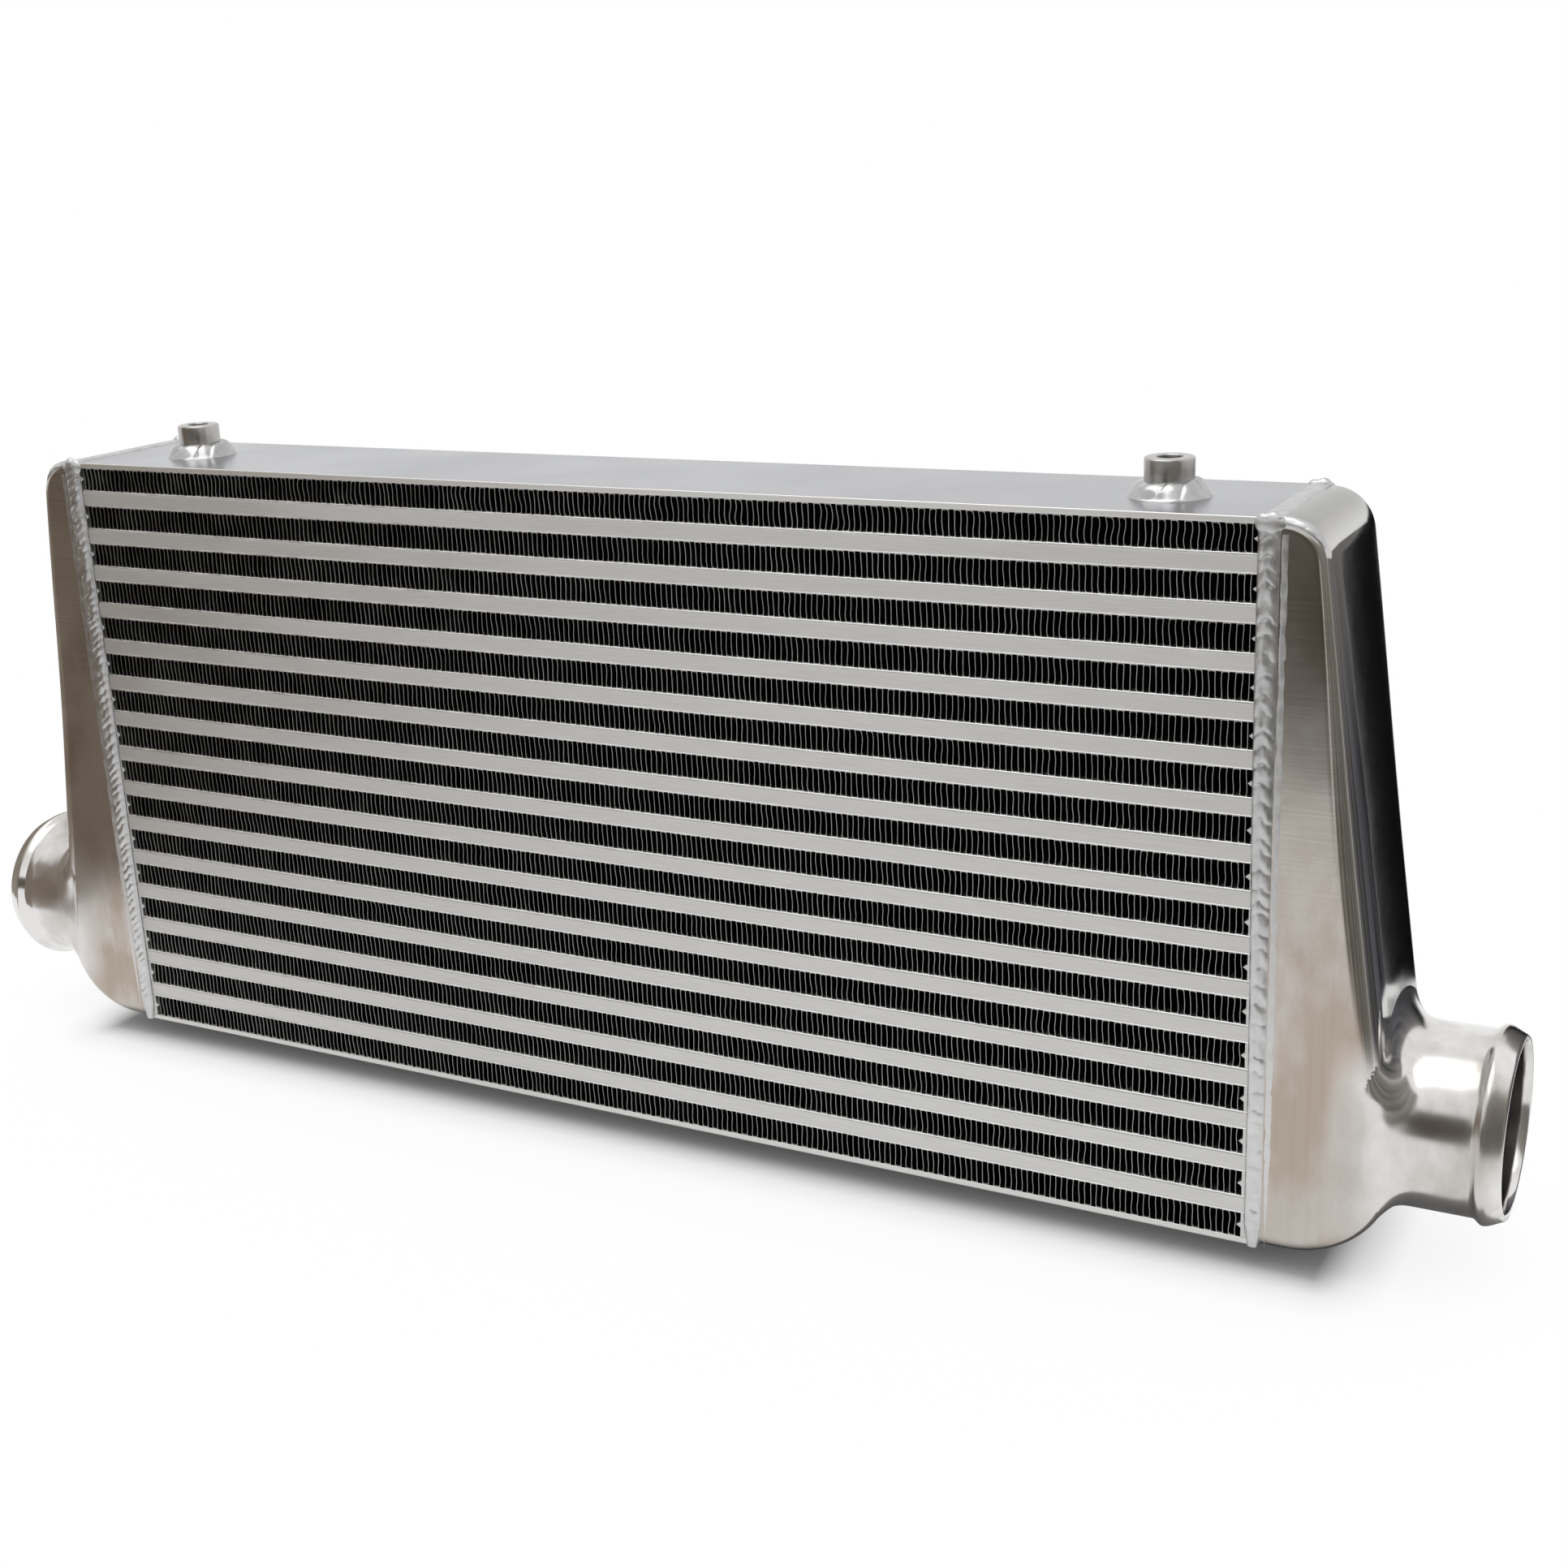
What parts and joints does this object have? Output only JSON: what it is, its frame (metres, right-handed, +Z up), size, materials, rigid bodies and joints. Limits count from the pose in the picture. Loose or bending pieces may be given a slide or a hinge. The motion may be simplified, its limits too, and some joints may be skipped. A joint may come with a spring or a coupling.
{
  "type": "intercooler",
  "caption": "Bar-and-plate air-to-air intercooler: a finned rectangular core between tapered end tanks, each with a beaded hose neck, and threaded bosses on top.",
  "frame": {"origin": "centre of the core's underside, which is the centre of the whole part's base", "axes": "+X from the left neck to the right neck, +Y from the front face to the back, +Z up towards the bosses"},
  "size_m": [0.791, 0.081, 0.315],
  "materials": {
    "fins": "bare rolled sheet, satin",
    "core_inside": "brazed sheet, matt",
    "side_plates": "bright rolled plate",
    "bars": "satin drawn bar",
    "tanks": "brushed and bright, with a faint lengthwise grain",
    "necks": "machined and polished",
    "welds": "bright weld bead",
    "bosses": "turned"
  },
  "bodies": {
    "root": {"top_side_plate": "side_plates", "bottom_side_plate": "side_plates", "cooling_fin_01": "fins", "cooling_fin_02": "fins", "cooling_fin_03": "fins", "cooling_fin_04": "fins", "cooling_fin_05": "fins", "cooling_fin_06": "fins", "cooling_fin_07": "fins", "cooling_fin_08": "fins", "cooling_fin_09": "fins", "cooling_fin_10": "fins", "cooling_fin_11": "fins", "cooling_fin_12": "fins", "cooling_fin_13": "fins", "cooling_fin_14": "fins", "cooling_fin_15": "fins", "cooling_fin_16": "fins", "turbulator_01": "core_inside", "turbulator_02": "core_inside", "turbulator_03": "core_inside", "turbulator_04": "core_inside", "turbulator_05": "core_inside", "turbulator_06": "core_inside", "turbulator_07": "core_inside", "turbulator_08": "core_inside", "turbulator_09": "core_inside", "turbulator_10": "core_inside", "turbulator_11": "core_inside", "turbulator_12": "core_inside", "turbulator_13": "core_inside", "turbulator_14": "core_inside", "turbulator_15": "core_inside", "parting_sheets": "core_inside", "front_long_bars": "bars", "rear_long_bars": "bars", "left_end_bars": "bars", "right_end_bars": "bars", "end_tanks": "tanks", "hose_necks": "necks", "seam_welds": "welds", "bosses": "bosses", "boss_welds": "welds"}
  },
  "joints": []
}
